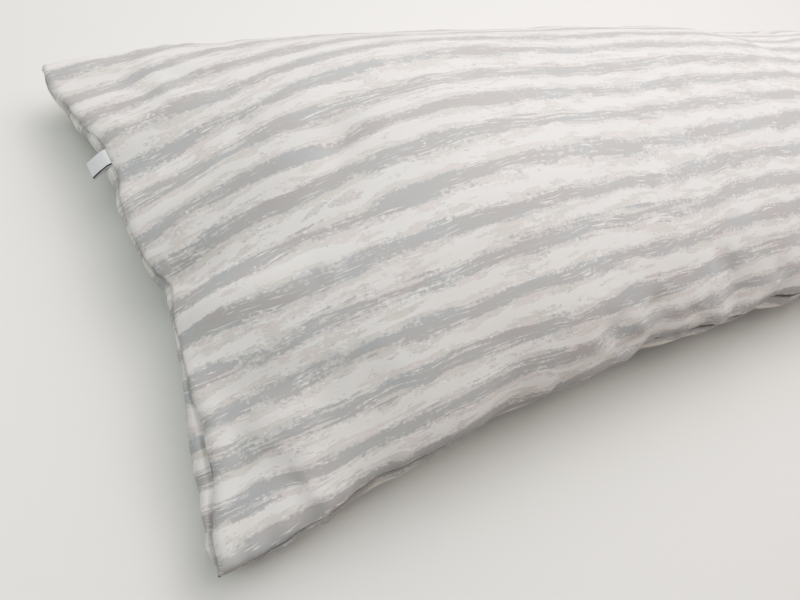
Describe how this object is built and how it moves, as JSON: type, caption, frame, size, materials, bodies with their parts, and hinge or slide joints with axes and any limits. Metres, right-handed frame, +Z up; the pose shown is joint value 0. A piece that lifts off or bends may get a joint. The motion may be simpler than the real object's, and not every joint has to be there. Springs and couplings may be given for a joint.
{
  "type": "body pillow",
  "caption": "Long filled pillow in a sewn cotton case with brushed grey stripes, lying on its back, with a small blank side label.",
  "frame": {"origin": "middle of the pillow on the surface that it lies on", "axes": "+X along the pillow's length away from the labelled end, +Y across it, +Z up"},
  "size_m": [1.4403, 0.3694, 0.1567],
  "materials": {
    "striped_cotton": "matt printed plain-weave cotton, brushed grey stripes along the length",
    "label_tape": "smooth white woven tape"
  },
  "bodies": {
    "root": {"pillow": "striped_cotton", "side_label": "label_tape"}
  },
  "joints": []
}
